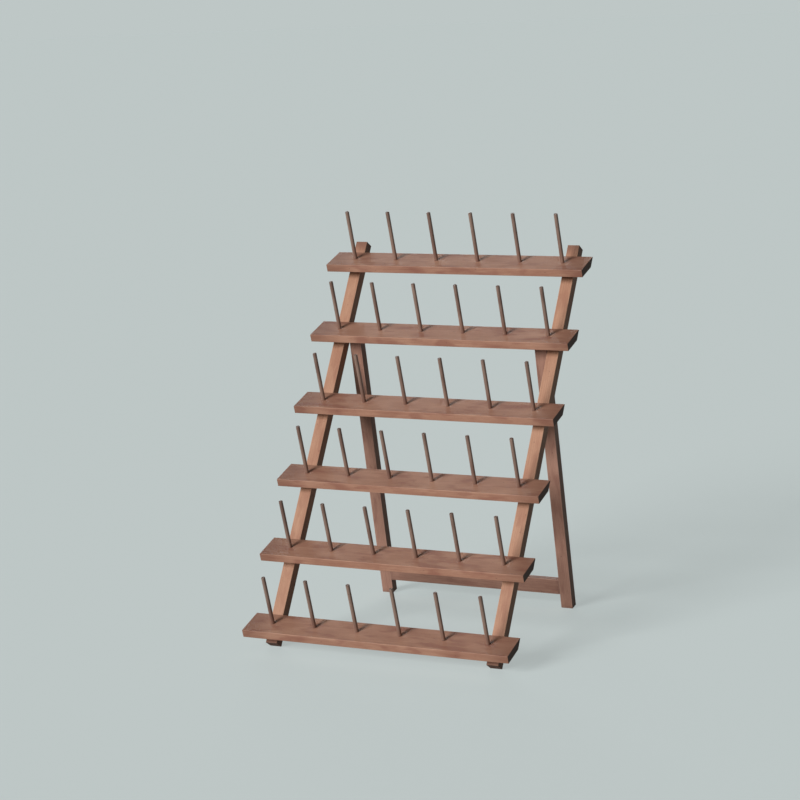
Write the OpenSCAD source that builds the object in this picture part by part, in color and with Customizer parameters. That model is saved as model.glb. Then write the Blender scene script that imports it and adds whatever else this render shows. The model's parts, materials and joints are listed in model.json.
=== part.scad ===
// Free-standing wooden thread rack: sloping shelves of upright pegs on two leaning rails,
// propped by a hinged frame that folds flat between the rails.
// X runs along the shelves, Y runs towards the back, Z is up. The origin lies on the floor,
// under the middle of the rack.

/* [Shelves] */
// Number of shelves
shelf_count = 6; // [2:1:7]
// Length of a shelf
shelf_w = 430; // [400:5:600]
// Depth of a shelf across its top face
shelf_d = 51; // [40:1:70]
// Thickness of a shelf
shelf_t = 12; // [10:0.5:18]
// Forward slope of the shelves from level, in degrees
shelf_tilt = 17; // [8:0.5:25]
// Spacing of the shelves, measured along the rails
shelf_pitch = 120; // [95:1:150]
// Height of the lowest shelf's back edge along the rails
first_shelf = 45; // [35:1:90]

/* [Pegs] */
// Number of pegs on each shelf
pegs_per_shelf = 6; // [2:1:6]
// Spacing of the pegs along a shelf
peg_pitch = 70; // [40:1:74]
// Diameter of a peg
peg_d = 6; // [4:0.5:8]
// Length of peg above the shelf
peg_h = 80; // [40:1:90]
// Width of the shoulder on which a peg stands, around its tenon
peg_shoulder = 0.5; // [0.3:0.1:0.8]
// Length of the tenon that is glued into a blind hole in the shelf
peg_tenon = 9; // [5:0.5:9]
// Radius of a peg's softened tip
peg_tip_r = 1; // [0.4:0.1:1.4]

/* [Rails] */
// Lean of the rails from upright, in degrees
rail_lean = 32; // [25:0.5:38]
// Width of a rail, seen from the front
rail_w = 19; // [16:0.5:28]
// Depth of a rail
rail_t = 17; // [15:0.5:24]
// Spacing of the two rails, centre to centre
rail_spacing = 360; // [330:1:370]
// Length of rail above the back edge of the top shelf
rail_above = 18; // [12:1:60]
// Radius along the long edges of every batten and shelf
edge_r = 1; // [0.3:0.1:2]

/* [Support frame] */
// Lean of the open legs from upright, in degrees
leg_lean = 11; // [5:0.5:18]
// Width of a leg, seen from the front
leg_w = 19; // [14:0.5:26]
// Gap between a rail and the leg beside it
leg_gap = 5; // [3:0.5:8]
// How far the folded legs lie inside the rails' front and back faces
leg_inset = 1; // [0.6:0.1:2]
// Distance of the pivot below the back edge of the second shelf, along the rails
pivot_drop = 23; // [18:0.5:30]
// Gap that the open leg's slanted end keeps from the shelf that stops it
stop_gap = 0.3; // [0.2:0.05:0.5]
// Height of the stretcher (its face, measured up the legs)
stretcher_h = 25; // [16:0.5:50]
// Thickness of the stretcher
stretcher_t = 10; // [8:0.5:13]
// Length of leg below the stretcher
foot_h = 23; // [8:1:80]

/* [Shelf screws] */
// Diameter of a shelf screw
screw_d = 3.5; // [3:0.1:4.5]
// Length of screw in the shelf
screw_bite = 10; // [6:0.5:12]
// Slope of the screws from square to the rail, in degrees
screw_angle = 35; // [20:1:45]
// Diameter of a screw's head
screw_head_d = 7; // [6:0.1:8]
// Height of a screw's head
screw_head_h = 2.2; // [1.6:0.1:3]
// Diameter of the pocket that a screw's head lies in
pocket_d = 8.2; // [8.2:0.1:10]
// Depth of a pocket along the screw
pocket_depth = 5.75; // [5:0.05:8]

/* [Pivots] */
// Diameter of a pivot bolt
bolt_d = 5; // [4:0.5:6]
// Diameter of a bolt's domed head
bolt_head_d = 9.5; // [8:0.1:12]
// Height of a bolt's domed head
bolt_head_h = 2.8; // [2.4:0.1:3.5]
// Width across flats of the hexagon socket in a bolt's head
bolt_socket = 3; // [2:0.5:4]
// Outer diameter of the pivot washers and spacers
washer_d = 11; // [10:0.5:14]
// Thickness of a washer
washer_t = 1; // [0.8:0.1:1.6]
// Width across flats of a cap nut
nut_af = 8; // [8:0.5:10]
// Height of a cap nut's hexagon
nut_h = 4; // [3:0.1:5]
// Diameter of a cap nut's dome
nut_dome_d = 7.5; // [7:0.1:8]
// Length of bolt that reaches past a cap nut's hexagon, into its dome
bolt_in_dome = 1; // [0.5:0.1:2]
// Side play of a leg on each side
side_play = 0.3; // [0.2:0.05:0.5]

/* [Stretcher dowels] */
// Diameter of a dowel
dowel_d = 5; // [4:0.5:6]
// Length of dowel in a leg
dowel_in_leg = 11; // [8:0.5:12]
// Length of dowel in the stretcher
dowel_in_stretcher = 15; // [10:0.5:25]
// Edge of the stretcher to the middle of a dowel
dowel_edge = 6.5; // [5:0.5:7]

/* [Fits] */
// Radial clearance of a pin, peg, screw or dowel in its hole
fit_gap = 0.05; // [0.02:0.01:0.1]

/* [Hidden] */
$fn = 64;
// Extra length of a cutting shape past the face that it cuts
over = 1;

// Angle between a shelf and a line square to the rails
shelf_to_rail = rail_lean + shelf_tilt;
// Angle between the open legs and the rails
open_angle = rail_lean + leg_lean;
// Angle between a screw and its shelf
screw_to_shelf = shelf_to_rail - screw_angle;

// Lengths measured up the rails from their front bottom edge
function shelf_s(row) = first_shelf + (shelf_count - row) * shelf_pitch;
rail_len = shelf_s(1) + rail_above;
pivot_s = shelf_s(2) - pivot_drop;

// Distances across the rack from its middle
rail_x = rail_spacing / 2;
rail_out = rail_x + rail_w / 2;
rail_in = rail_x - rail_w / 2;
leg_out = rail_in - leg_gap;
leg_in = leg_out - leg_w;
leg_x = (leg_out + leg_in) / 2;
function peg_x(col) = (col - (pegs_per_shelf + 1) / 2) * peg_pitch;
tenon_r = peg_d / 2 - peg_shoulder;

// The legs' front bottom edges stand on the floor, as the rails' back bottom edges do
leg_t = rail_t - 2 * leg_inset;
pivot_y = pivot_s * sin(rail_lean) + rail_t / 2 * cos(rail_lean);
pivot_z = pivot_s * cos(rail_lean) + rail_t / 2 * sin(rail_lean);
leg_below = (pivot_z - leg_t / 2 * sin(leg_lean)) / cos(leg_lean);
stretcher_z = foot_h + stretcher_h / 2 - leg_below;

// The legs' slanted ends lie this far in front of the pivot when the frame is open
nose_r = rail_t / 2 - stop_gap;
heel_z = (nose_r + leg_t / 2 * cos(open_angle)) / sin(open_angle);

// Where a screw crosses the rail's front face, below the shelf's back edge: the middle of its
// bite lies in the middle of the shelf's thickness
screw_drop = (shelf_t + screw_bite * sin(screw_to_shelf)) / 2 / cos(shelf_to_rail);
screw_in_rail = rail_t / cos(screw_angle) - pocket_depth;

// Where the stack on a pivot bolt begins and ends
nut_x = leg_in - side_play - washer_t;
thread_len = nut_h + bolt_in_dome;

// Depth of the whole rack, which places the origin under its middle: the front is the lowest
// shelf's edge or the tips of its pegs
shelf_front_y = first_shelf * sin(rail_lean) - shelf_d * cos(shelf_tilt)
    + edge_r * (cos(shelf_tilt) + sin(shelf_tilt) - 1);
peg_front_y = first_shelf * sin(rail_lean) - peg_tip_r
    - (shelf_d / 2 + peg_d / 2 - peg_tip_r) * cos(shelf_tilt) - (peg_h - peg_tip_r) * sin(shelf_tilt);
rail_back_y = rail_len * sin(rail_lean) + rail_t * cos(rail_lean);
leg_back_y = pivot_y + leg_below * sin(leg_lean) + leg_t / 2 * cos(leg_lean);
middle_y = (min(shelf_front_y, peg_front_y) + max(rail_back_y, leg_back_y)) / 2;

wood_front = [0.83, 0.62, 0.40];
wood_shelf = [0.76, 0.56, 0.36];
wood_leg = [0.68, 0.44, 0.28];
wood_peg = [0.87, 0.72, 0.51];
steel = [0.70, 0.71, 0.73];

// Rail frame: Z runs up the rails, Y runs back from their front face
module at_rails() {
    translate([0, -middle_y, rail_t * sin(rail_lean)]) rotate([-rail_lean, 0, 0]) children();
}

// Shelf frame: Z is square to the shelf, and the origin is on the back edge of its top face
module at_shelf(row) {
    at_rails() translate([0, 0, shelf_s(row)]) rotate([shelf_to_rail, 0, 0]) children();
}

// Leg frame: Z runs up the open legs, and the origin is on the pivot
module at_legs() {
    at_rails() translate([0, rail_t / 2, pivot_s]) rotate([open_angle, 0, 0]) children();
}

// Screw frame: Z runs from the tip towards the head, from the rail's front face
module at_screw(row, side) {
    at_rails() translate([side * rail_x, 0, shelf_s(row) - screw_drop])
        rotate([screw_angle - 90, 0, 0]) children();
}

// Pivot frame: Z runs outwards along the bolt on one side, from the middle of the rack
module at_pivot(side) {
    at_rails() translate([0, rail_t / 2, pivot_s]) rotate([0, side * 90, 0]) children();
}

// A shape drawn in Y and Z, carried along X about the middle
module along_x(length) {
    rotate([90, 0, 90]) linear_extrude(height = length, center = true) children();
}

// A rectangle with round corners
module soft_rectangle(w, h) {
    square([w - 2 * edge_r, h], center = true);
    square([w, h - 2 * edge_r], center = true);
    for (x = [-1, 1], y = [-1, 1])
        translate([x * (w / 2 - edge_r), y * (h / 2 - edge_r)]) circle(r = edge_r, $fn = 24);
}

module rail(side) {
    color(wood_front) difference() {
        at_rails() translate([side * rail_x, rail_t / 2, 0])
            linear_extrude(height = rail_len) soft_rectangle(rail_w, rail_t);
        at_pivot(side) translate([0, 0, rail_in - over])
            cylinder(d = bolt_d + 2 * fit_gap, h = rail_w + 2 * over);
        for (row = [1:shelf_count]) at_screw(row, side) {
            screw_hole();
            translate([0, 0, screw_in_rail]) cylinder(d = pocket_d, h = 2 * rail_t);
        }
    }
}

// The hole that a shelf screw fills, through the rail and into the shelf
module screw_hole() {
    translate([0, 0, -screw_bite]) cylinder(d = screw_d + 2 * fit_gap, h = screw_bite + rail_t);
}

// The shelf's outline from the side: round front edges, and a back face that lies on the rails
module shelf_outline() {
    bevel = shelf_t * tan(shelf_to_rail);
    polygon([[0, 0], [edge_r - shelf_d, 0], [edge_r - shelf_d, -shelf_t], [-bevel, -shelf_t]]);
    translate([-shelf_d, edge_r - shelf_t]) square([2 * edge_r, shelf_t - 2 * edge_r]);
    for (z = [-edge_r, edge_r - shelf_t])
        translate([edge_r - shelf_d, z]) circle(r = edge_r, $fn = 24);
}

module shelf(row) {
    color(wood_shelf) difference() {
        at_shelf(row) along_x(shelf_w) shelf_outline();
        for (col = [1:pegs_per_shelf]) at_shelf(row)
            translate([peg_x(col), -shelf_d / 2, -peg_tenon])
                cylinder(r = tenon_r + fit_gap, h = peg_tenon + over);
        for (side = [-1, 1]) at_screw(row, side) screw_hole();
    }
}

// A turned peg whose tip is softened all round. Its shoulder stands on the shelf, and its tenon
// fills the hole
module peg(row, col) {
    core_r = peg_d / 2 - peg_tip_r;
    color(wood_peg) at_shelf(row) translate([peg_x(col), -shelf_d / 2, 0]) rotate_extrude() {
        translate([0, -peg_tenon]) square([tenon_r, peg_tenon + peg_tip_r]);
        square([core_r, peg_h]);
        square([peg_d / 2, peg_h - peg_tip_r]);
        translate([core_r, peg_h - peg_tip_r]) circle(r = peg_tip_r, $fn = 24);
    }
}

// One screw for each meeting of a shelf and a rail: pan head, cross recess and pointed tip
module shelf_screws() {
    tip = screw_d;
    recess = screw_head_h * 0.6;
    color(steel) for (row = [1:shelf_count], side = [-1, 1]) at_screw(row, side) difference() {
        union() {
            translate([0, 0, -screw_bite]) cylinder(d1 = screw_d / 8, d2 = screw_d, h = tip);
            translate([0, 0, tip - screw_bite])
                cylinder(d = screw_d, h = screw_in_rail + screw_bite - tip);
            translate([0, 0, screw_in_rail])
                cylinder(d1 = screw_head_d, d2 = screw_head_d * 0.8, h = screw_head_h);
        }
        for (turn = [0, 90]) rotate([0, 0, turn])
            translate([-screw_head_d / 4, -screw_head_h / 6, screw_in_rail + screw_head_h - recess])
                cube([screw_head_d / 2, screw_head_h / 3, recess + over]);
    }
}

// The leg's outline from the side: its slanted end lies along the shelf that stops it, and a
// round nose about the pivot keeps clear of the shelf as the frame folds
module leg_outline() {
    half = leg_t / 2;
    polygon([
        [-half, -leg_below], [half, -leg_below], [half, heel_z],
        [-nose_r * cos(open_angle), nose_r * sin(open_angle)], [-half, 0]
    ]);
    intersection() {
        circle(r = nose_r);
        square([leg_t, 2 * nose_r], center = true);
    }
}

module leg(side) {
    color(wood_leg) difference() {
        at_legs() translate([side * leg_x, 0, 0]) intersection() {
            along_x(leg_w) leg_outline();
            translate([0, 0, -leg_below])
                linear_extrude(height = leg_below + heel_z) soft_rectangle(leg_w, leg_t);
        }
        at_pivot(side) translate([0, 0, leg_in - over])
            cylinder(d = bolt_d + 2 * fit_gap, h = leg_w + 2 * over);
        dowel_places() dowel(fit_gap);
    }
}

// The stretcher's front face is flush with the legs' front faces
module stretcher() {
    color(wood_leg) difference() {
        at_legs() translate([0, (stretcher_t - leg_t) / 2, stretcher_z])
            along_x(2 * leg_in) soft_rectangle(stretcher_t, stretcher_h);
        dowel_places() dowel(fit_gap);
    }
}

// Both ends of the stretcher, near its top and bottom edges, with Z running into the leg
module dowel_places() {
    rise = stretcher_h / 2 - dowel_edge;
    for (side = [-1, 1], z = [-rise, rise]) at_legs()
        translate([side * leg_in, (stretcher_t - leg_t) / 2, stretcher_z + z])
            rotate([0, side * 90, 0]) children();
}

module dowel(gap) {
    translate([0, 0, -dowel_in_stretcher])
        cylinder(d = dowel_d + 2 * gap, h = dowel_in_stretcher + dowel_in_leg);
}

module stretcher_dowels() {
    color(wood_peg) dowel_places() dowel(0);
}

// A bolt with a domed head, from outside the rail to the cap nut inside the leg
module pivot_bolts() {
    seat = rail_out + washer_t;
    dome_r = (pow(bolt_head_d / 2, 2) + pow(bolt_head_h, 2)) / 2 / bolt_head_h;
    color(steel) for (side = [-1, 1]) at_pivot(side) difference() {
        union() {
            translate([0, 0, nut_x - thread_len]) cylinder(d = bolt_d, h = seat - nut_x + thread_len);
            translate([0, 0, seat]) intersection() {
                translate([0, 0, bolt_head_h - dome_r]) sphere(r = dome_r);
                cylinder(d = bolt_head_d, h = bolt_head_h);
            }
        }
        translate([0, 0, seat + bolt_head_h / 3])
            cylinder(d = bolt_socket / cos(30), h = bolt_head_h, $fn = 6);
    }
}

module ring(from, thickness) {
    for (side = [-1, 1]) at_pivot(side) translate([0, 0, from]) difference() {
        cylinder(d = washer_d, h = thickness);
        translate([0, 0, -over]) cylinder(d = bolt_d + 2 * fit_gap, h = thickness + 2 * over);
    }
}

module outer_washers() {
    color(steel) ring(rail_out, washer_t);
}

module pivot_spacers() {
    color(steel) ring(leg_out + side_play, leg_gap - side_play);
}

module inner_washers() {
    color(steel) ring(nut_x, washer_t);
}

// A hexagon nut closed by a dome
module cap_nuts() {
    wall = (nut_dome_d - bolt_d) / 2;
    color(steel) for (side = [-1, 1]) at_pivot(side) difference() {
        union() {
            translate([0, 0, nut_x - nut_h]) cylinder(d = nut_af / cos(30), h = nut_h, $fn = 6);
            translate([0, 0, nut_x - thread_len - wall]) {
                sphere(d = nut_dome_d);
                cylinder(d = nut_dome_d, h = thread_len + wall - nut_h);
            }
        }
        translate([0, 0, nut_x - thread_len - fit_gap])
            cylinder(d = bolt_d + 2 * fit_gap, h = thread_len + fit_gap + over);
    }
}

rail(-1);  // left_rail
rail(1);  // right_rail
for (row = [1:shelf_count]) shelf(row);
for (row = [1:shelf_count]) for (col = [1:pegs_per_shelf])
    peg(row, col);
shelf_screws();
leg(-1);  // left_leg
leg(1);  // right_leg
stretcher();
stretcher_dowels();
pivot_bolts();
outer_washers();
pivot_spacers();
inner_washers();
cap_nuts();
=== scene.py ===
# %% [markdown]
# # A wooden thread rack
# The rack is made of plain battens: two leaning rails, six sloping shelves with thirty-six pegs, and a
# folding frame behind. Its construction comes in as a finished model, with every piece in its place.
# This lesson gives the pieces their finished surfaces: softened edges, wood grain that follows each
# batten, and plated steel for the screws and bolts. Then it sets the light and the camera.

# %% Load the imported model
import json
import math

import bpy
import numpy as np
from mathutils import Matrix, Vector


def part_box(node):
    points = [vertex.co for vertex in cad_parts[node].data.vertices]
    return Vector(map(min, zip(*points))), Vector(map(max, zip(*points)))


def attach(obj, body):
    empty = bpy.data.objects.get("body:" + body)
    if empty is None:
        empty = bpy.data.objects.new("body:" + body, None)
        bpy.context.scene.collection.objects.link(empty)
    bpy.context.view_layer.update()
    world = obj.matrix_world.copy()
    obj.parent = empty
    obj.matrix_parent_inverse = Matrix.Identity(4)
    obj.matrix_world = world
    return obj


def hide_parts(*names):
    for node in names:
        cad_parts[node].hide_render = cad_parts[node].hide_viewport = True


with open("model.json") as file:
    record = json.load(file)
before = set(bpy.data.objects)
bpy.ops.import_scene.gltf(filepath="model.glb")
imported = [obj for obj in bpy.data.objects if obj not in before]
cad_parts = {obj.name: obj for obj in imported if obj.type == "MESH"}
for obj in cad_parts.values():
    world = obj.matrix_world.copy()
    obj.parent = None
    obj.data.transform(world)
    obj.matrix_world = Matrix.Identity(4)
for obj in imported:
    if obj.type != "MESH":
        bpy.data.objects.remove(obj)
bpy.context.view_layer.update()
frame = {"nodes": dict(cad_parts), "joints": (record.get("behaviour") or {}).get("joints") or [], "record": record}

# %% [markdown]
# Everything on this rack follows one of four directions: along the shelves, up the rails, up the legs,
# or square to the shelves, as the pegs stand. They could be typed as angles, but the model already
# holds them, so they are measured. The shelves climb along the rails, a peg gives the slope of its
# shelf, and the legs are the rails turned about the pivot by the angle through which the frame folds.

# %% Directions that the pieces follow
MM = 0.001


def unit(vector):
    """A vector's direction: the vector divided by its length."""
    return vector / np.linalg.norm(vector)


def corners(node):
    """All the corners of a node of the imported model, as rows of x, y and z."""
    mesh = frame["nodes"][node].data
    points = np.empty(3 * len(mesh.vertices))
    mesh.vertices.foreach_get("co", points)
    return points.reshape(-1, 3)


def middle(node):
    """The middle of a node's box."""
    low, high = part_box(node)
    return np.array((low + high) / 2)


shelves = sorted(name for name in frame["nodes"] if name.startswith("shelf_") and name != "shelf_screws")
pegs = sorted(name for name in frame["nodes"] if name.startswith("peg_"))
pins = {mount["name"]: mount for mount in frame["record"]["mounts"]}
fold = frame["joints"][0]
pivot = np.array(fold["pos_m"])
open_angle = math.radians(fold["range_deg"][1])

across = np.array([1.0, 0.0, 0.0])
shelf_up = unit(np.array(pins[pegs[0]]["axis"]))
shelf_back = np.cross(shelf_up, across)
rail_up = unit(middle(shelves[0]) - middle(shelves[-1]))
rail_back = np.cross(rail_up, across)
leg_up = math.cos(open_angle) * rail_up - math.sin(open_angle) * rail_back
leg_back = np.cross(leg_up, across)
for name, direction in (("rail", rail_up), ("leg", leg_up), ("peg", shelf_up)):
    print(name, "leans back by", round(math.degrees(math.atan2(direction[1], direction[2])), 2), "degrees")

# %% [markdown]
# A batten is easiest to think about in its own frame: three directions, with the grain along the first.
# Measuring a node in that frame gives its true length, width and thickness, however it leans.

# %% Measure each batten in its own frame
SHELF_FRAME = np.array([across, shelf_back, shelf_up])
RAIL_FRAME = np.array([rail_up, across, rail_back])
LEG_FRAME = np.array([leg_up, across, leg_back])
STRETCHER_FRAME = np.array([across, leg_back, leg_up])


def extent(node, axes):
    """The lowest and highest place that a node reaches along each direction of a frame."""
    local = corners(node) @ axes.T
    return local.min(axis=0), local.max(axis=0)


for name, axes in (("shelf_1", SHELF_FRAME), ("left_rail", RAIL_FRAME), ("left_leg", LEG_FRAME),
                   ("stretcher", STRETCHER_FRAME)):
    low, high = extent(name, axes)
    print(name, "measures", np.round((high - low) / MM, 1), "mm")

# %% [markdown]
# Real battens have no sharp edges, because they are sanded after sawing. A Bevel modifier could soften a
# box, but a surface from a formula gives every edge its own radius, also on a bevelled outline. The
# outline's corners become arcs, and the whole outline draws in a little as it reaches either end. The
# shelves' long edges look crisper than the rails', so their radius is a little smaller.

# %% A bar with round edges
EDGE = 1.0 * MM
SHELF_EDGE = 0.7 * MM
END_EDGE = 0.6 * MM
ARC_STEPS = 5


def grid_faces(rings, around):
    """The faces of rings of points joined in order, each closed on itself, with a flat face on each end."""
    place = np.arange(rings * around).reshape(rings, around)
    after = np.roll(place, -1, axis=1)
    quads = np.stack([place[:-1], after[:-1], after[1:], place[1:]], axis=-1).reshape(-1, 4)
    return quads.tolist() + [place[0][::-1].tolist(), place[-1].tolist()]


def round_bar(axes, outline, radii, ends, soft=END_EDGE):
    """A convex outline, drawn in the last two directions of axes, carried along the first.

    A corner V of the outline becomes an arc of radius R about the point that lies R inside both of its
    edges. Where n and m are the edges' outward directions, that point is V - R (n + m) / (1 + n . m).
    As t goes from 0 to a right angle, an end closes by soft (1 - sin t) and the outline draws in by
    soft (1 - cos t), so that the end's edge is round as well.
    """
    corner, radii = np.array(outline), np.array(radii)
    edge = np.roll(corner, -1, axis=0) - corner
    leaving = np.column_stack([edge[:, 1], -edge[:, 0]]) / np.linalg.norm(edge, axis=1)[:, None]
    coming = np.roll(leaving, 1, axis=0)
    start = np.arctan2(coming[:, 1], coming[:, 0])
    turn = (np.arctan2(leaving[:, 1], leaving[:, 0]) - start) % (2 * np.pi)
    angle = (start[:, None] + turn[:, None] * np.linspace(0, 1, ARC_STEPS + 1)).ravel()
    outward = np.column_stack([np.cos(angle), np.sin(angle)])
    inside = (coming + leaving) / (1 + np.sum(coming * leaving, axis=1))[:, None]
    centre = np.repeat(corner - radii[:, None] * inside, ARC_STEPS + 1, axis=0)
    t = np.linspace(0, np.pi / 2, ARC_STEPS + 1)
    along = np.concatenate([ends[0] + soft * (1 - np.sin(t[::-1])), ends[1] - soft * (1 - np.sin(t))])
    drawn_in = soft * (1 - np.cos(np.concatenate([t[::-1], t])))
    reach = np.repeat(radii, ARC_STEPS + 1)[None, :] - drawn_in[:, None]
    flat = centre[None] + reach[..., None] * outward[None]
    lengthwise = np.broadcast_to(along[:, None, None], (*reach.shape, 1))
    points = np.concatenate([lengthwise, flat], axis=-1).reshape(-1, 3) @ axes
    return points, grid_faces(*reach.shape)


# %% [markdown]
# Pegs, and the holes that hold them, are turned shapes: a circle whose radius changes with height.

# %% A turned shape
SIDES = 48
QUARTER_STEPS = 6


def turned(base, axis, heights, radii):
    """Circles about an axis: at height h above base the circle has radius r, and the ends are flat.

    A point is base + h axis + r (cos a side + sin a front), where side and front are square to the axis.
    """
    side = unit(np.cross(axis, shelf_back))
    front = np.cross(axis, side)
    angle = np.linspace(0, 2 * np.pi, SIDES, endpoint=False)
    circle = np.cos(angle)[:, None] * side + np.sin(angle)[:, None] * front
    heights, radii = np.array(heights), np.array(radii)
    points = base + heights[:, None, None] * axis + radii[:, None, None] * circle[None]
    return points.reshape(-1, 3), grid_faces(len(heights), SIDES)


# %% [markdown]
# Points and faces become an object in one place. Holes are cut as they are at the bench, by taking a rod's
# shape out of the piece. The object then rides on a body, stands for a node, and is shaded smooth with its
# flat faces kept flat, which a Weighted Normal modifier does.

# %% Points and faces into a piece
SHARP = math.radians(40)
PAST = 1.0 * MM


def mesh_object(name, points, faces):
    """A new object with this mesh, linked to the scene."""
    mesh = bpy.data.meshes.new(name)
    mesh.from_pydata(points, [], faces)
    made = bpy.data.objects.new(name, mesh)
    bpy.context.scene.collection.objects.link(made)
    return made


def bore(piece, rods):
    """Cuts holes: each rod is a (points, faces) pair whose shape is taken out of the piece."""
    offsets = np.cumsum([0] + [len(points) for points, _ in rods])
    joined = np.concatenate([points for points, _ in rods])
    faces = [[i + shift for i in face] for (_, some), shift in zip(rods, offsets) for face in some]
    cutter = mesh_object("cutter", joined, faces)
    cut = piece.modifiers.new("holes", "BOOLEAN")
    cut.solver = "EXACT"
    cut.object = cutter
    bored = bpy.data.meshes.new_from_object(piece.evaluated_get(bpy.context.evaluated_depsgraph_get()))
    piece.modifiers.clear()
    piece.data = bored
    bpy.data.objects.remove(cutter)


def finish_piece(piece, node, body):
    """Shades a piece, sets it on its body, and hides the node that it stands for."""
    piece.data.shade_smooth()
    piece.data.set_sharp_from_angle(angle=SHARP)
    weighted = piece.modifiers.new("flat faces stay flat", "WEIGHTED_NORMAL")
    weighted.keep_sharp = True
    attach(piece, body)
    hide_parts(node)
    return piece


# %% [markdown]
# The pegs are short lengths of dowel. Below its shoulder each has a thinner tenon that is glued into the
# shelf, and its tip is softened all round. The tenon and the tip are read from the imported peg.

# %% Pegs
TIP = 1.0 * MM
GLUE = 0.05 * MM


def peg_shape(name):
    """Where a peg starts, its direction, its radius, its height, and its tenon's radius and depth."""
    pin = pins[name]
    axis = unit(np.array(pin["axis"]))
    radius, wall = pin["dims"]["r_mm"] * MM, pin["dims"]["length_mm"] * MM
    foot = np.array(pin["pos_m"]) - axis * wall / 2
    height = (corners(name) - foot) @ axis
    off_axis = np.linalg.norm(np.cross(corners(name) - foot, axis), axis=1)
    return foot, axis, radius, height.max(), off_axis[height < -PAST].max(), -height.min()


def peg_piece(name):
    """A peg with its tenon below, its shoulder at height 0, and a quarter round at its tip."""
    foot, axis, radius, height, tenon_r, tenon = peg_shape(name)
    t = np.linspace(0, np.pi / 2, QUARTER_STEPS + 1)
    heights = np.concatenate([[-tenon, 0, 0, height / 3, height * 2 / 3], height - TIP * (1 - np.sin(t))])
    radii = np.concatenate([[tenon_r, tenon_r, radius, radius, radius], radius - TIP * (1 - np.cos(t))])
    piece = mesh_object("turned_" + name, *turned(foot, axis, heights, radii))
    return finish_piece(piece, name, "rack")


peg_pieces = {name: peg_piece(name) for name in pegs}
print("pegs", len(peg_pieces), "of", len(peg_pieces[pegs[0]].data.vertices), "points each")

# %% [markdown]
# A shelf is a board whose back face is sawn to the slope of the rails, so that it lies flat on them. Its
# outline has four corners. The back face runs along the rails, which places its lower corner.

# %% Shelves
def shelf_piece(name):
    """A board with four round edges and a slanted back, with a hole for each peg's tenon."""
    low, high = extent(name, SHELF_FRAME)
    slope = SHELF_FRAME[1:] @ rail_up
    lower_back = high[1] - (high[2] - low[2]) * slope[0] / slope[1]
    outline = [(low[1], low[2]), (lower_back, low[2]), (high[1], high[2]), (low[1], high[2])]
    shape = round_bar(SHELF_FRAME, outline, [SHELF_EDGE] * 4, (low[0], high[0]))
    piece = mesh_object("board_" + name, *shape)
    rods = []
    for peg in (p for p in pegs if p.split("_")[1] == name.split("_")[1]):
        foot, axis, _, _, tenon_r, tenon = peg_shape(peg)
        rods.append(turned(foot, axis, [-tenon, PAST], [tenon_r + GLUE] * 2))
    bore(piece, rods)
    return finish_piece(piece, name, "rack")


shelf_pieces = {name: shelf_piece(name) for name in shelves}
print("shelves", {name: len(piece.data.polygons) for name, piece in shelf_pieces.items()})

# %% [markdown]
# A leg is cut to a slant at its top, where it meets the shelf that stops it, and its nose is rounded so
# that it turns freely. The slant stands at the folding angle to the leg, so three corners and the angle
# give the fourth. The stretcher is a plain bar between the legs, sawn off square, so only a hair's
# breadth is taken off its end edges.

# %% Legs and stretcher
BOLT_HOLE = 2.55 * MM
SAWN_EDGE = 0.1 * MM


def leg_piece(name):
    """A bar with a slanted top: its outline is drawn from the side and carried across the leg's width."""
    low, high = extent(name, STRETCHER_FRAME)
    nose = high[2] - (high[1] - low[1]) / math.tan(open_angle)
    outline = [(low[1], low[2]), (high[1], low[2]), (high[1], high[2]), (low[1], nose)]
    nose_radius = (high[1] - low[1]) / 2
    shape = round_bar(STRETCHER_FRAME, outline, [EDGE, EDGE, EDGE, nose_radius], (low[0], high[0]))
    piece = mesh_object("batten_" + name, *shape)
    ends = np.array([low[0] - PAST, high[0] + PAST])
    bore(piece, [turned(pivot, across, ends, [BOLT_HOLE] * 2)])
    return finish_piece(piece, name, "support_frame")


leg_pieces = {name: leg_piece(name) for name in ("left_leg", "right_leg")}
low, high = extent("stretcher", STRETCHER_FRAME)
outline = [(low[1], low[2]), (high[1], low[2]), (high[1], high[2]), (low[1], high[2])]
shape = round_bar(STRETCHER_FRAME, outline, [EDGE] * 4, (low[0], high[0]), SAWN_EDGE)
stretcher = mesh_object("batten_stretcher", *shape)
finish_piece(stretcher, "stretcher", "support_frame")
print("legs", {name: len(piece.data.polygons) for name, piece in leg_pieces.items()})

# %% [markdown]
# Shader maths reads best as plain arithmetic. One small class wraps a shader socket, so that adding two
# values adds a Math node, and one method adds any other node with its settings and sockets.

# %% Arithmetic on shader sockets
class Value:
    """An output socket of a shader node. Arithmetic on it adds Math nodes beside it."""

    def __init__(self, socket):
        self.socket = socket

    def out(self, name):
        """Another output of the same node."""
        return Value(self.socket.node.outputs[name])

    def node(self, kind, settings=None, sockets=None, output=0):
        """Adds a node of this kind beside this value, with its settings, then its sockets."""
        return add_node(self.socket.id_data, kind, settings, sockets, output)

    def math(self, operation, *others, first=None):
        """A Math node on this value and others, with first before it where the order matters."""
        values = ([first] if first is not None else []) + [self, *others]
        return self.node("ShaderNodeMath", {"operation": operation}, dict(enumerate(values)))

    def __add__(self, other):
        return self.math("ADD", other)

    def __sub__(self, other):
        return self.math("SUBTRACT", other)

    def __rsub__(self, other):
        return self.math("SUBTRACT", first=other)

    def __mul__(self, other):
        return self.math("MULTIPLY", other)

    __radd__, __rmul__ = __add__, __mul__

    def smooth(self, low, high):
        """0 below low, 1 above high, with a soft rise between."""
        kind = {"interpolation_type": "SMOOTHSTEP"}
        return self.node("ShaderNodeMapRange", kind, {"Value": self, "From Min": low, "From Max": high})


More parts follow.
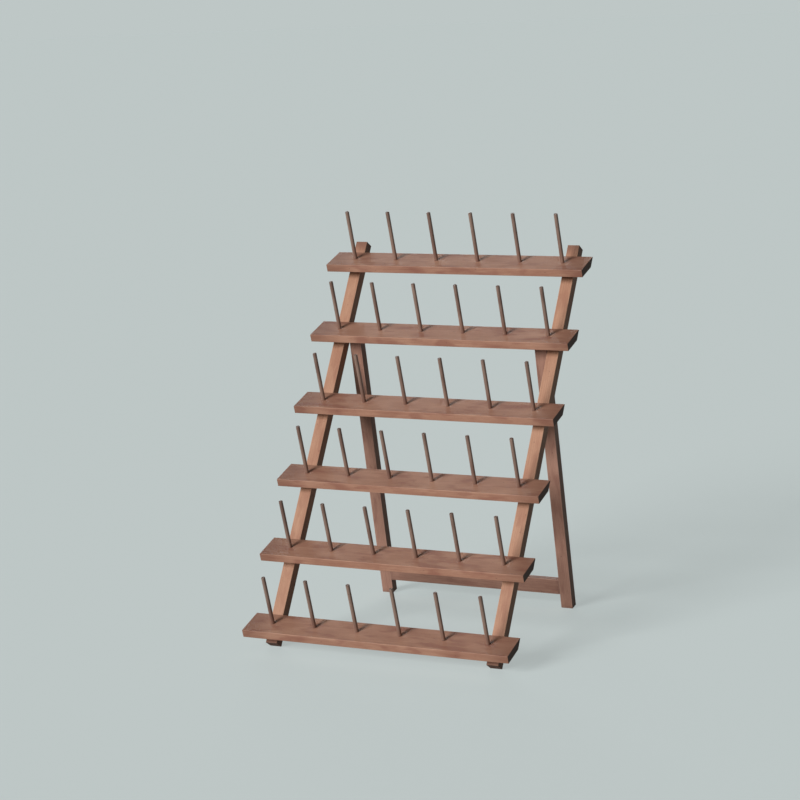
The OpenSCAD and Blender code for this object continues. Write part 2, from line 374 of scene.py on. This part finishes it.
def add_node(tree, kind, settings=None, sockets=None, output=0):
    """Adds a node, sets its settings, then gives each named socket its number, colour or link."""
    made = tree.nodes.new(kind)
    for key, value in (settings or {}).items():
        setattr(made, key, value)
    for key, value in (sockets or {}).items():
        if isinstance(value, Value):
            tree.links.new(value.socket, made.inputs[key])
        else:
            made.inputs[key].default_value = value
    return Value(made.outputs[output]) if made.outputs else made


def blend(first, second, share):
    """A colour between two colours."""
    sockets = {"Factor": share, 6: first, 7: second}
    return share.node("ShaderNodeMix", {"data_type": "RGBA"}, sockets, 2)


def stretch(place, *scale):
    """A place in the wood multiplied by a scale along each direction."""
    return place.node("ShaderNodeVectorMath", {"operation": "MULTIPLY"}, {0: place, 1: scale})


def noise(place, detail):
    """Soft random values from about -0.5 to 0.5."""
    return place.node("ShaderNodeTexNoise", None, {"Vector": place, "Scale": 1.0, "Detail": detail}) - 0.5


# %% [markdown]
# Wood is a solid with a pattern all through it: growth rings about the middle of the log, fibres along
# it, and in beech short dark flecks. So the pattern is worked out at each point's place in the log, and
# not painted on faces. Long faces then show stripes and an end shows the rings, as on a real batten.

# %% The pattern inside the wood
def rgb(red, green, blue):
    """A colour written as 0 to 255 on the screen, as the linear light that a shader takes."""
    screen = np.array([red, green, blue]) / 255
    linear = np.where(screen < 0.04045, screen / 12.92, ((screen + 0.055) / 1.055) ** 2.4)
    return (*linear.tolist(), 1.0)


RINGS_PER_MM = 0.38
RING_WANDER = 5.0


def wood_pattern(log, palette):
    """The wood's colour, relief and fibres at a place in the log.

    The place is in millimetres, with the grain along its first axis. Rings rise slowly and end sharply,
    as a sawtooth of the distance from the middle of the log, which is sqrt(y y + z z). The distance
    wanders by a slow noise that is drawn out along the grain. Streaks, fibres and flecks are noises drawn
    out along the grain by about 40 to 1, 30 to 1 and 6 to 1. Each value from smooth is the share of its
    own colour that is laid over the wood.
    """
    wander = noise(stretch(log, 0.005, 0.02, 0.02), 2)
    parts = log.node("ShaderNodeSeparateXYZ", None, {0: log})
    from_middle = (parts.out("Y") * parts.out("Y") + parts.out("Z") * parts.out("Z")).math("SQRT")
    ring = (from_middle * RINGS_PER_MM + parts * 0.006 + wander * RING_WANDER).math("FRACT")
    late = ring.smooth(0.45, 0.93) * (1 - ring.smooth(0.95, 1.0))
    cloud = noise(stretch(log, 0.018, 0.05, 0.05), 3)
    patch = noise(stretch(log, 0.022, 0.07, 0.07), 2).smooth(0.0, 0.16)
    streak = noise(stretch(log, 0.012, 0.5, 0.5), 2)
    fibre = noise(stretch(log, 0.09, 2.8, 2.8), 3)
    cells = log.node("ShaderNodeTexVoronoi", None, {"Vector": stretch(log, 0.42, 2.4, 2.4), "Scale": 1.0})
    chosen = log.node("ShaderNodeSeparateColor", None, {0: cells.out("Color")})
    fleck = (1 - cells.smooth(0.10, 0.34)) * chosen.smooth(0.5, 0.62)
    knots = log.node("ShaderNodeTexVoronoi", None, {"Vector": stretch(log, 0.07, 0.13, 0.13), "Scale": 1.0})
    kept = log.node("ShaderNodeSeparateColor", None, {0: knots.out("Color")})
    speck = (1 - knots.smooth(0.04, 0.12)) * kept.smooth(0.35, 0.55)
    tone = cloud * 1.1 + streak * 0.55 + fibre * 0.8 + 0.5
    colour = blend(palette["dark"], palette["light"], tone)
    colour = blend(colour, palette["patch"], patch * 0.55)
    colour = blend(colour, palette["late"], late * 0.22)
    colour = blend(colour, palette["fleck"], fleck * 0.6 + speck * 0.6)
    relief = fibre * 1.2 + streak * 0.5 - fleck * 0.5 - late * 0.15
    return colour, relief, fibre


BATTEN_SHINE = 0.35
PEG_SHINE = 0.6
FIBRE_HEIGHT = 0.08 * MM


def wood_shader(tree, colour, relief, roughness, shine):
    """The finish over the pattern: a thin satin lacquer that lets the fibres be felt.

    shine is how strongly the lacquer mirrors, and 0.5 is what plain varnish does.
    """
    bump = {"Height": relief, "Strength": 0.5, "Distance": FIBRE_HEIGHT}
    normal = add_node(tree, "ShaderNodeBump", None, bump)
    surface = {"Base Color": colour, "Roughness": roughness, "Normal": normal, "Specular IOR Level": shine}
    shader = add_node(tree, "ShaderNodeBsdfPrincipled", None, surface)
    add_node(tree, "ShaderNodeOutputMaterial", None, {"Surface": shader})


def new_material(name):
    """An empty node material."""
    material = bpy.data.materials.new(name)
    material.use_nodes = True
    material.node_tree.nodes.clear()
    return material


# %% [markdown]
# Every batten gets its own material, because it is cut from its own place in a log. Near its edges the
# stained surface has been sanded off, and a painted highlight of the round edge is laid over that wear,
# so a thin pale line runs there, broken up by the grain. The distance to the nearest edge comes from the
# batten's half sizes: on a face one of the three distances to the sides is zero, and the next smallest is
# the distance to an edge. Towards its ends the wood darkens, which is painted shade. The sawn face is
# darker end grain, and on the shelves its greyer tint is a painted reflection of the pale surroundings.

# %% Wood of a batten
random = np.random.default_rng(57)


def batten_wood(name, node, axes, palette, back=None):
    """Wood for one batten: the pattern, pale worn edges with painted highlight, and dark ends with painted shade.

    The batten is cut from its own place in the log: anywhere along it, and at random beside its middle.
    back is the outward direction of a slanted back face in the last two directions of axes. The distance
    to that face is back . half - back . place. A palette's wear_and_highlight and end_shade_share are shares
    from 0 to 1, and end_shade_reach is how far the painted end shade goes in from an end, in millimetres.
    """
    material = new_material(name)
    tree = material.node_tree
    low, high = (value / MM for value in extent(node, axes))
    centre, half = (low + high) / 2, (high - low) / 2
    mapping = {
        "Vector": add_node(tree, "ShaderNodeTexCoord", output="Object"),
        "Location": -centre,
        "Rotation": Matrix(axes.tolist()).to_euler(),
        "Scale": [1 / MM] * 3,
    }
    place = add_node(tree, "ShaderNodeMapping", None, mapping)
    cut_from = (random.uniform(-900, 900), random.uniform(25, 70), random.uniform(-40, 40))
    log = place.node("ShaderNodeVectorMath", {"operation": "ADD"}, {0: place, 1: cut_from})
    colour, relief, fibre = wood_pattern(log, palette)
    parts = place.node("ShaderNodeSeparateXYZ", None, {0: place})
    x, y, z = parts, parts.out("Y"), parts.out("Z")
    to_end = half[0] - x.math("ABSOLUTE")
    to_side = half[1] - y.math("ABSOLUTE")
    to_face = half[2] - z.math("ABSOLUTE")
    if back is not None:
        reach = float(back @ half[1:])
        to_back = reach - (y * float(back[0]) + z * float(back[1]))
        to_side = (y + half[1]).math("MINIMUM", to_back)
    nearest = to_end.math("MINIMUM", to_side)
    edge = nearest.math("MAXIMUM", to_end.math("MAXIMUM", to_side).math("MINIMUM", to_face))
    patchy = noise(stretch(place, 0.05, 0.25, 0.25), 3)
    # Pale edge line: real wear, with a painted highlight of the round edge laid into the colour.
    worn_and_highlight = 1 - (edge + patchy * 1.6 + fibre * 1.2).smooth(0.35, 1.3)
    ends = 1 - to_end.smooth(0.0, 0.5)
    # Painted shade: the colour darkens towards each end, standing in for shade that falls there.
    painted_end_shade = 1 - to_end.smooth(0.0, palette["end_shade_reach"])
    colour = blend(colour, palette["worn_and_highlight"], worn_and_highlight * palette["wear_and_highlight"])
    colour = blend(colour, palette["end"], painted_end_shade * palette["end_shade_share"])
    # The sawn face: darker end grain, and on the shelves a greyer tint that is a painted reflection of the pale
    # surroundings.
    colour = blend(colour, palette["cut"], ends * 0.8)
    roughness = 0.5 + fibre * 0.25 + worn_and_highlight * 0.06 + ends * 0.15
    wood_shader(tree, colour, relief, roughness, BATTEN_SHINE)
    return material


# In these palettes the pale edge colour is real wear with a painted highlight, the end colour and its share paint
# shade towards the ends, and the shelves' greyer cut colour is partly a painted reflection.
RAIL = {
    "dark": rgb(155, 107, 82), "light": rgb(192, 148, 120), "patch": rgb(152, 103, 80),
    "late": rgb(146, 98, 74), "fleck": rgb(92, 54, 42), "worn_and_highlight": rgb(210, 170, 142), "end": rgb(104, 66, 52),
    "wear_and_highlight": 0.45, "end_shade_reach": 26.0, "end_shade_share": 0.68, "cut": rgb(96, 66, 54),
}
SHELF = {
    "dark": rgb(144, 98, 80), "light": rgb(190, 148, 124), "patch": rgb(136, 88, 74),
    "late": rgb(132, 88, 70), "fleck": rgb(84, 50, 40), "worn_and_highlight": rgb(206, 166, 140), "end": rgb(104, 66, 52),
    "wear_and_highlight": 0.1, "end_shade_reach": 60.0, "end_shade_share": 0.45, "cut": rgb(94, 80, 74),
}
# The legs and stretcher take a darker copy of the wood: painted shade for the light that the shelves keep off
# them.
LEG_WITH_PAINTED_SHADE = {
    "dark": rgb(136, 98, 83), "light": rgb(182, 141, 122), "patch": rgb(131, 91, 77),
    "late": rgb(116, 80, 70), "fleck": rgb(80, 50, 43), "worn_and_highlight": rgb(188, 149, 132), "end": rgb(97, 66, 56),
    "wear_and_highlight": 0.45, "end_shade_reach": 8.0, "end_shade_share": 0.3, "cut": rgb(92, 66, 57),
}


def dress(target, material):
    """Gives an object this one material."""
    if target.material_slots:
        target.material_slots[0].material = material
    else:
        target.data.materials.append(material)


rail_face = np.array([rail_back @ shelf_back, rail_back @ shelf_up])
for name in ("left_rail", "right_rail"):
    dress(frame["nodes"][name], batten_wood("wood_" + name, name, RAIL_FRAME, RAIL))
for name, piece in shelf_pieces.items():
    dress(piece, batten_wood("wood_" + name, name, SHELF_FRAME, SHELF, rail_face))
for name, piece in leg_pieces.items():
    dress(piece, batten_wood("wood_" + name, name, LEG_FRAME, LEG_WITH_PAINTED_SHADE))
dress(stretcher, batten_wood("wood_stretcher", "stretcher", STRETCHER_FRAME, LEG_WITH_PAINTED_SHADE))
print("battens with their own wood", sum(m.name.startswith("wood_") for m in bpy.data.materials))

# %% [markdown]
# The pegs share one material. Each peg carries its own place in the wood as an attribute on its points,
# turned and shifted at random, so no two pegs show the same grain, and a UV map whose second number is
# the height, which darkens the cut tip and the foot, where a glue line carries painted contact shade.
# The dowels in the stretcher are the same wood.

# %% Wood of the pegs
PEG = {
    "dark": rgb(108, 84, 74), "light": rgb(168, 142, 126), "patch": rgb(106, 78, 68),
    "late": rgb(106, 78, 69), "fleck": rgb(74, 50, 42), "worn_and_highlight": rgb(184, 156, 136), "end": rgb(98, 74, 64),
    "wear_and_highlight": 0.3, "end_shade_reach": 2.0, "end_shade_share": 0.3, "cut": rgb(104, 80, 70), "foot": rgb(126, 82, 66),
}


def mark_peg(name, piece):
    """Stores on a peg its place in the wood, in millimetres, and its height as a share of its length."""
    foot, axis, _, height, _, _ = peg_shape(name)
    mesh = piece.data
    points = np.empty(3 * len(mesh.vertices))
    mesh.vertices.foreach_get("co", points)
    away = points.reshape(-1, 3) - foot
    up = away @ axis
    spin = random.uniform(0, 2 * np.pi)
    side, front = away @ across, away @ np.cross(axis, across)
    turned_side = math.cos(spin) * side - math.sin(spin) * front
    turned_front = math.sin(spin) * side + math.cos(spin) * front
    shift = [random.uniform(-900, 900), random.uniform(20, 60), random.uniform(-30, 30)]
    place = np.column_stack([up, turned_side, turned_front]) / MM + shift
    mesh.attributes.new("log", "FLOAT_VECTOR", "POINT").data.foreach_set("vector", place.ravel())
    loops = np.empty(len(mesh.loops), int)
    mesh.loops.foreach_get("vertex_index", loops)
    share = np.column_stack([np.arctan2(side, front) / (2 * np.pi) + 0.5, up / height])[loops]
    mesh.uv_layers.new(name="height").data.foreach_set("uv", share.ravel())


def peg_wood():
    """The pegs' wood: pattern, stained tip, lower half rubbed darker, glue and painted contact shade at the foot.
    """
    material = new_material("wood_pegs")
    tree = material.node_tree
    log = add_node(tree, "ShaderNodeAttribute", {"attribute_name": "log"}, output="Vector")
    height = log.node("ShaderNodeSeparateXYZ", None, {0: log.node("ShaderNodeUVMap", {"uv_map": "height"})})
    colour, relief, fibre = wood_pattern(log, PEG)
    tip = (height.out("Y") + fibre * 0.004).smooth(0.984, 0.997)
    # Painted contact shade: the foot of each peg is darkened over a glue line, as if shaded where it meets the
    # shelf.
    glue_and_contact_shade = 1 - height.out("Y").smooth(0.0, 0.03)
    rubbed = 1 - height.out("Y").smooth(0.0, 0.5)
    colour = blend(colour, PEG["foot"], rubbed * 0.4)
    colour = blend(colour, PEG["end"], (tip + glue_and_contact_shade * 0.6) * 0.8)
    wood_shader(tree, colour, relief, 0.36 + fibre * 0.2, PEG_SHINE)
    return material


wood_of_pegs = peg_wood()
for name, piece in peg_pieces.items():
    mark_peg(name, piece)
    dress(piece, wood_of_pegs)
dowel_wood = batten_wood("wood_dowels", "stretcher_dowels", STRETCHER_FRAME, PEG)
dress(frame["nodes"]["stretcher_dowels"], dowel_wood)
print("pegs share", wood_of_pegs.name, "of", len(wood_of_pegs.node_tree.nodes), "shader nodes")

# %% [markdown]
# Screws, bolts, washers and nuts are plated steel. Plating is nearly even, with faint cloudy patches and
# fine scratches that break up the shine. The patches are darker where they are smoother.

# %% Plated steel
def steel():
    """Zinc plate: a metal whose roughness and tone drift slowly, under a fine scratch relief."""
    material = new_material("plated_steel")
    tree = material.node_tree
    place = add_node(tree, "ShaderNodeTexCoord", output="Object")
    patch = noise(stretch(place, 400, 400, 400), 3)
    scratch = noise(stretch(place, 9000, 1500, 1500), 2)
    colour = blend(rgb(150, 150, 146), rgb(204, 204, 200), patch * 1.6 + 0.5)
    bump = {"Height": scratch, "Strength": 0.2, "Distance": 0.02 * MM}
    surface = {
        "Base Color": colour,
        "Metallic": 1.0,
        "Roughness": 0.32 + patch * 0.3 + scratch * 0.15,
        "Normal": place.node("ShaderNodeBump", None, bump),
    }
    shader = add_node(tree, "ShaderNodeBsdfPrincipled", None, surface)
    add_node(tree, "ShaderNodeOutputMaterial", None, {"Surface": shader})
    return material


plate = steel()
steel_nodes = ("shelf_screws", "pivot_bolts", "outer_washers", "pivot_spacers", "inner_washers", "cap_nuts")
for name in steel_nodes:
    dress(frame["nodes"][name], plate)
print("steel pieces", len(steel_nodes))

# %% [markdown]
# The rack stands on a pale floor that runs on past the picture. The main light comes from the front and
# a little from the left. It is low, which leaves the rack's right sides dark, and broad, which gives its
# shadows soft edges. A much broader and weaker one lifts the shadows a little, and one from behind on
# the left shows the back in other views. The camera sees the floor paler than it is to the light that
# bounces off it, and the sky brighter than it shines, because either would fill the dark sides.

# %% Floor and light
FLOOR = rgb(190, 199, 198)
FLOOR_BOUNCE = rgb(140, 142, 140)
FLOOR_RADIUS = 60.0
FLOOR_GLOSS = 0.4
GLOW = 0.45
GLOW_STRENGTH = 1.575
SKY = 0.08
SKY_GLOSS = 0.28


def floor():
    """A wide disc. Seen straight from the camera it glows a little, which keeps the shadow on it faint."""
    angle = np.linspace(0, 2 * np.pi, 96, endpoint=False)
    ring = np.column_stack([np.cos(angle), np.sin(angle), np.zeros_like(angle)]) * FLOOR_RADIUS
    made = mesh_object("floor", ring, [list(range(len(ring)))])
    material = new_material("pale_floor")
    tree = material.node_tree
    matt = add_node(tree, "ShaderNodeBsdfDiffuse", None, {"Color": FLOOR})
    glow = add_node(tree, "ShaderNodeEmission", None, {"Color": FLOOR, "Strength": GLOW_STRENGTH})
    seen = add_node(tree, "ShaderNodeMixShader", None, {0: GLOW, 1: matt, 2: glow})
    unseen = add_node(tree, "ShaderNodeBsdfDiffuse", None, {"Color": FLOOR_BOUNCE})
    to_camera = add_node(tree, "ShaderNodeLightPath", output="Is Camera Ray")
    pale = to_camera + to_camera.out("Is Glossy Ray") * FLOOR_GLOSS
    surface = add_node(tree, "ShaderNodeMixShader", None, {0: pale, 1: unseen, 2: seen})
    add_node(tree, "ShaderNodeOutputMaterial", None, {"Surface": surface})
    dress(made, material)


def sun(name, azimuth, elevation, strength, width):
    """A far lamp, placed by its azimuth from the front and its elevation.

    The way to it is (sin a cos e, -cos a cos e, sin e). Its width in the sky, in degrees as the angles
    are, softens its shadows.
    """
    lamp = bpy.data.lights.new(name, "SUN")
    lamp.energy = strength
    lamp.angle = math.radians(width)
    made = bpy.data.objects.new(name, lamp)
    a, e = math.radians(azimuth), math.radians(elevation)
    toward = np.array([math.sin(a) * math.cos(e), -math.cos(a) * math.cos(e), math.sin(e)])
    side = unit(np.cross([0, 0, 1], toward))
    made.matrix_world = Matrix(np.column_stack([side, np.cross(toward, side), toward]).tolist()).to_4x4()
    bpy.context.scene.collection.objects.link(made)


floor()
sun("front_light", azimuth=-20, elevation=21, strength=3.25, width=25)
sun("front_fill", azimuth=-15, elevation=25, strength=0.28, width=80)
sun("back_light", azimuth=-150, elevation=12, strength=1.05, width=30)
world = bpy.data.worlds.new("studio")
bpy.context.scene.world = world
world.use_nodes = True
world.node_tree.nodes.clear()
seen = add_node(world.node_tree, "ShaderNodeLightPath", output="Is Camera Ray")
strength = SKY + seen * (1 - SKY) + seen.out("Is Glossy Ray") * SKY_GLOSS
background = add_node(world.node_tree, "ShaderNodeBackground", None, {"Color": FLOOR, "Strength": strength})
add_node(world.node_tree, "ShaderNodeOutputWorld", None, {"Surface": background})
print("lamps", [lamp.name for lamp in bpy.data.lights])

# %% [markdown]
# The camera was fitted to the picture: its direction, distance and field of view make the corners of
# all six shelves and the tips of the pegs fall where they are seen. It is a long lens, slightly rolled.

# %% Camera
AIM = np.array([-0.0013, -0.0669, 0.3679])
DISTANCE = 3.4005
AZIMUTH, ELEVATION, ROLL = math.radians(26.0446), math.radians(10.1024), math.radians(-2.0837)
PICTURE_WIDTH = 800
FOCAL_PIXELS = 2307.9
SENSOR_WIDTH = 36.0

camera = bpy.data.objects.new("camera", bpy.data.cameras.new("camera"))
away = np.array([
    math.sin(AZIMUTH) * math.cos(ELEVATION),
    -math.cos(AZIMUTH) * math.cos(ELEVATION),
    math.sin(ELEVATION),
])
level = np.array([math.cos(AZIMUTH), math.sin(AZIMUTH), 0.0])
upright = np.cross(away, level)
right = math.cos(ROLL) * level + math.sin(ROLL) * upright
up = math.cos(ROLL) * upright - math.sin(ROLL) * level
turn = Matrix(np.column_stack([right, up, away]).tolist()).to_4x4()
camera.matrix_world = Matrix.Translation(AIM + DISTANCE * away) @ turn
camera.data.sensor_width = SENSOR_WIDTH
camera.data.lens = SENSOR_WIDTH * FOCAL_PIXELS / PICTURE_WIDTH
bpy.context.scene.collection.objects.link(camera)
bpy.context.scene.camera = camera
bpy.context.scene.view_settings.view_transform = "Standard"
print("camera at", np.round(AIM + DISTANCE * away, 3), "with a lens of", round(camera.data.lens, 1), "mm")
